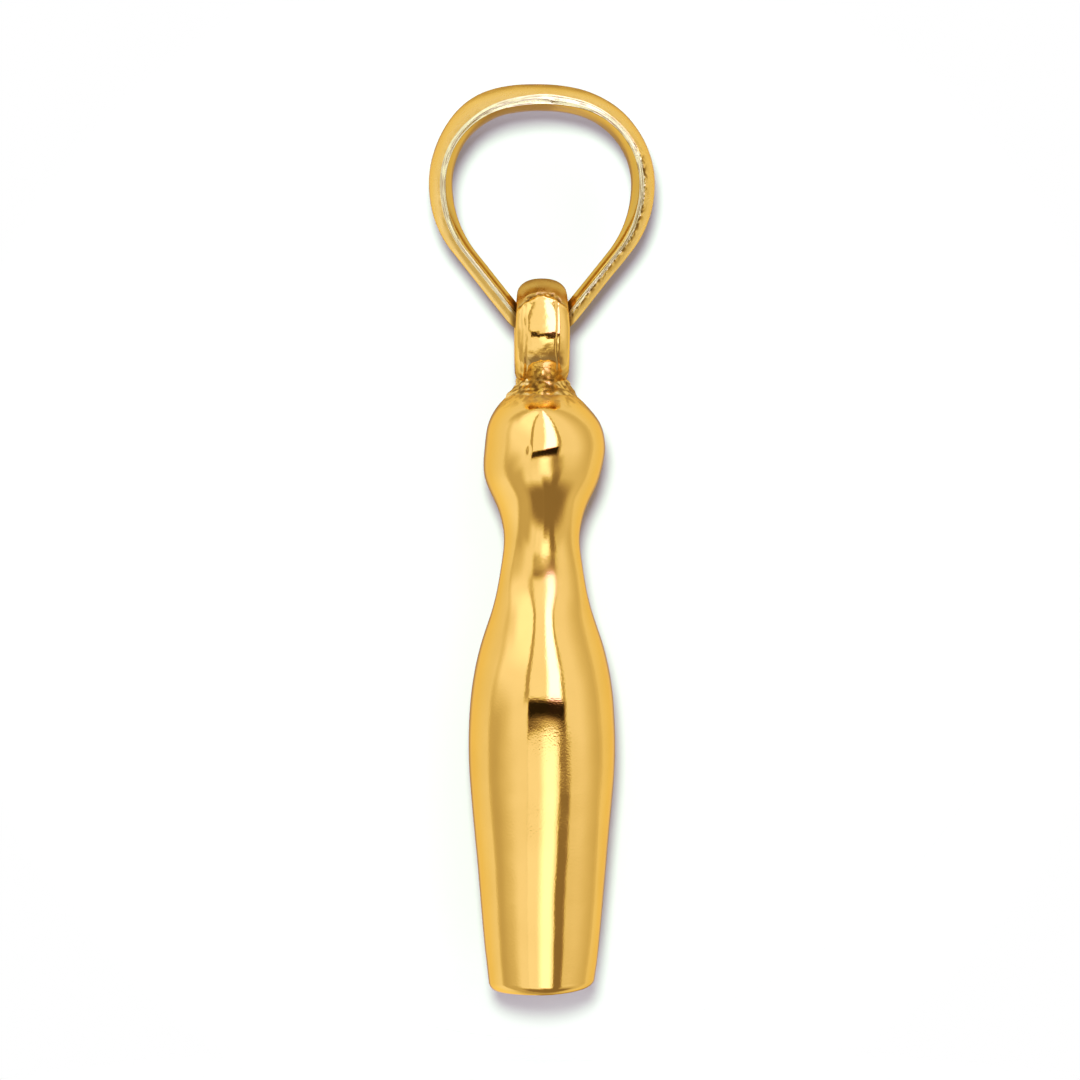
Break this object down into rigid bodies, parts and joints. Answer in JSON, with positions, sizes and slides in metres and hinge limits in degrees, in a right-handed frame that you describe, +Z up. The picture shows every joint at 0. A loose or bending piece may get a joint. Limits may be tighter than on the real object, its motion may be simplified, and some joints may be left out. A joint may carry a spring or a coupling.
{
  "type": "gold bowling-pin pendant",
  "caption": "Polished gold pendant shaped like a bowling pin, hung by a soldered ring from a teardrop bail that slides on a chain.",
  "frame": {"origin": "middle of the inside of the bail's crown, where the chain bears", "axes": "+Z up along the hanging pendant, X along the chain and across the pin's wide face, Y the pendant's depth with the front facing -Y"},
  "size_m": [0.0052, 0.0062, 0.0248],
  "materials": {
    "polished_gold": "polished",
    "bail_gold": "polished",
    "solder_gold": "polished"
  },
  "bodies": {
    "bail": {"bail_strap": "bail_gold", "bail_solder": "solder_gold"},
    "pin": {"pin_body": "polished_gold", "hanging_ring": "polished_gold", "ring_solder": "solder_gold"}
  },
  "joints": [
    {"name": "pin_swing", "type": "hinge", "parent": "bail", "child": "pin", "pos_m": [0, 0, -0.00502], "axis": [1, 0, 0], "range_deg": [-82, 82]}
  ]
}
